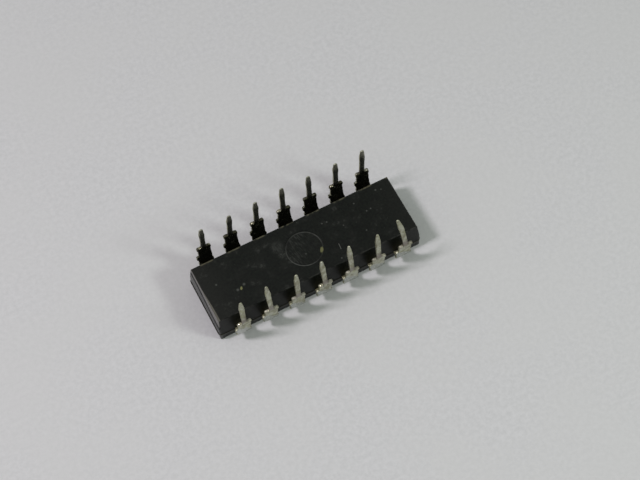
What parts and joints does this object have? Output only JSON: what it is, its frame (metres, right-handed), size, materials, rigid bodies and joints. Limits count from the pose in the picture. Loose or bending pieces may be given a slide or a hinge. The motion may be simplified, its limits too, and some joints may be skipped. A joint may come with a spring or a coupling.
{
  "type": "dip integrated circuit chip",
  "caption": "Used through-hole chip lying on its marking face: black moulded body with formed, dull-tinned leads along both long sides, pointing up and slightly bent.",
  "frame": {"origin": "middle of the marking face, which lies on the ground", "axes": "+Z from the marking face towards the lead tips, +X along the body away from the index notch, -Y towards the row of leads 8 to 14"},
  "size_m": [0.0194, 0.0082, 0.0075],
  "materials": {
    "moulding": "matte charcoal moulding compound, faintly mottled, worn at the edges",
    "tinned_lead": "dull tin with solder left on the shoulders",
    "frame_metal": "satin lead frame alloy",
    "silver_epoxy": "cured silver-filled epoxy",
    "silicon": "polished silicon",
    "gold_wire": "bright gold wire"
  },
  "bodies": {
    "root": {"moulded_body": "moulding", "lead_1": "tinned_lead", "lead_2": "tinned_lead", "lead_3": "tinned_lead", "lead_4": "tinned_lead", "lead_5": "tinned_lead", "lead_6": "tinned_lead", "lead_7": "tinned_lead", "lead_8": "tinned_lead", "lead_9": "tinned_lead", "lead_10": "tinned_lead", "lead_11": "tinned_lead", "lead_12": "tinned_lead", "lead_13": "tinned_lead", "lead_14": "tinned_lead", "die_paddle": "frame_metal", "die_attach": "silver_epoxy", "silicon_die": "silicon", "bond_wire_1": "gold_wire", "bond_wire_2": "gold_wire", "bond_wire_3": "gold_wire", "bond_wire_4": "gold_wire", "bond_wire_5": "gold_wire", "bond_wire_6": "gold_wire", "bond_wire_7": "gold_wire", "bond_wire_8": "gold_wire", "bond_wire_9": "gold_wire", "bond_wire_10": "gold_wire", "bond_wire_11": "gold_wire", "bond_wire_12": "gold_wire", "bond_wire_13": "gold_wire", "bond_wire_14": "gold_wire"}
  },
  "joints": []
}
